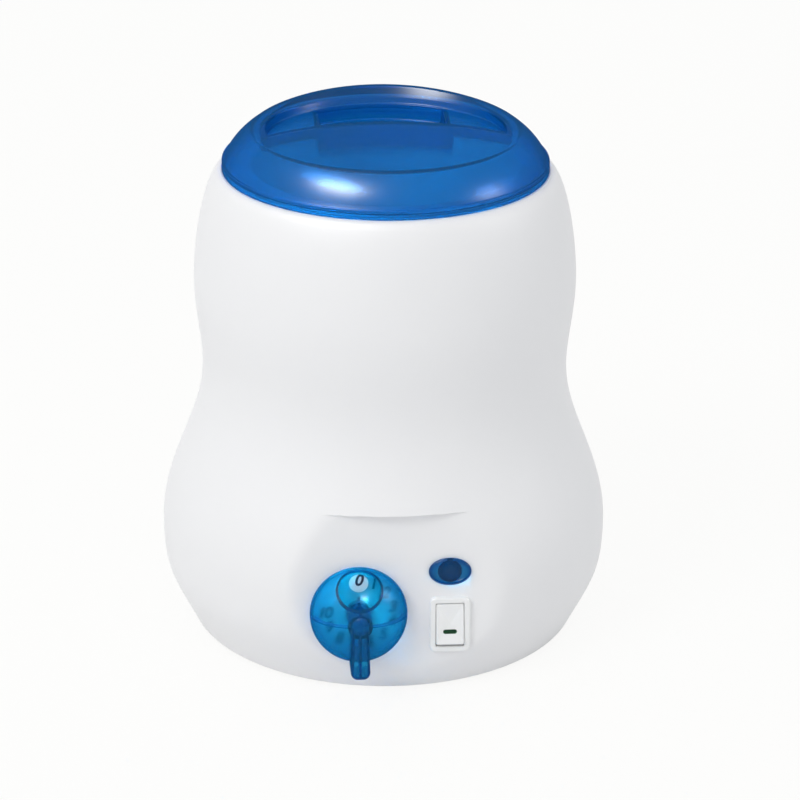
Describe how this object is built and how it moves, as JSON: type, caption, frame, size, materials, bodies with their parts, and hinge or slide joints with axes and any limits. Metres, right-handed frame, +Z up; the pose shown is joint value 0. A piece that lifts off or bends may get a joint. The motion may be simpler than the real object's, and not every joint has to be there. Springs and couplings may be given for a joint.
{
  "type": "wax warmer",
  "caption": "Waisted upright wax warmer with a domed lid, lift-out metal pot in a heated well, dial knob with a numbered window, oval indicator lamp and rocker switch",
  "frame": {"origin": "centre of the casing's axis, on the plane that the feet stand on", "axes": "+Z up along the casing's axis, -Y towards the front with the controls, +X to the right as seen from the front"},
  "size_m": [0.1736, 0.1827, 0.199],
  "materials": {
    "casing_white": "smooth moulded white plastic with a soft gloss",
    "base_grey": "fine spark texture",
    "foot_rubber": "dull soft rubber",
    "screw_steel": "zinc plated",
    "well_aluminium": "spun, with fine turning lines",
    "pot_aluminium": "drawn and polished inside",
    "heater_silicone": "matt silicone",
    "glass_wool": "needled felt",
    "shield_steel": "plain rolled sheet",
    "lid_blue": "clear deep blue, highly polished",
    "knob_blue": "clear bright blue, highly polished",
    "shaft_steel": "turned",
    "dial_white": "smooth white with printed numbers",
    "device_plastic": "dull moulded thermoset",
    "tab_brass": "bright stamped brass and copper",
    "lens_blue": "clear deep blue, polished",
    "bulb_glass": "clear glass",
    "switch_white": "satin moulded plastic",
    "lens_green": "clear green",
    "gland_white": "satin nylon",
    "lead_brown": "satin insulation",
    "lead_blue": "satin insulation"
  },
  "bodies": {
    "root": {"front_shell": "casing_white", "rear_shell": "casing_white", "base_plate": "base_grey", "feet": "foot_rubber", "base_screws": "screw_steel", "post_screws": "screw_steel", "shell_screws": "screw_steel", "top_collar": "casing_white", "heating_well": "well_aluminium", "heater_mat": "heater_silicone", "insulation_jacket": "glass_wool", "heat_shield": "shield_steel", "support_posts": "shield_steel", "dial_plate": "dial_white", "thermostat": "device_plastic", "thermostat_tabs": "tab_brass", "thermostat_screws": "screw_steel", "sensor_bulb": "tab_brass", "bulb_clip": "shield_steel", "thermal_cutout": "device_plastic", "cutout_tabs": "tab_brass", "stud_nuts": "screw_steel", "lamp_lens": "lens_blue", "lamp_nut": "screw_steel", "lamp_socket": "device_plastic", "neon_bulb": "bulb_glass", "switch_housing": "switch_white", "switch_tabs": "tab_brass", "cord_gland": "gland_white", "gland_nut": "gland_white", "cord_clamp": "base_grey", "clamp_screws": "screw_steel", "terminal_block": "device_plastic", "terminal_screws": "screw_steel", "live_lead": "lead_brown", "switch_lead": "lead_brown", "thermostat_lead": "lead_brown", "cutout_lead": "lead_brown", "neutral_lead": "lead_blue"},
    "wax_pot": {"wax_pot": "pot_aluminium"},
    "lid": {"lid": "lid_blue"},
    "knob": {"knob": "knob_blue", "knob_ring": "screw_steel", "thermostat_shaft": "shaft_steel"},
    "rocker": {"rocker": "switch_white", "rocker_lens": "lens_green"}
  },
  "joints": [
    {"name": "pot_lift", "type": "slide", "parent": "root", "child": "wax_pot", "axis": [0, 0, 1], "range_m": [0, 0.12]},
    {"name": "lid_lift", "type": "slide", "parent": "wax_pot", "child": "lid", "axis": [0, 0, 1], "range_m": [0, 0.05]},
    {"name": "knob_turn", "type": "hinge", "parent": "root", "child": "knob", "pos_m": [-0.0141, -0.07784, 0.03418], "axis": [0, -0.9954, 0.0958], "range_deg": [-270, 0]},
    {"name": "rocker_tilt", "type": "hinge", "parent": "root", "child": "rocker", "pos_m": [0.0199, -0.07636, 0.02871], "axis": [1, 0, 0], "range_deg": [0, 14]}
  ]
}
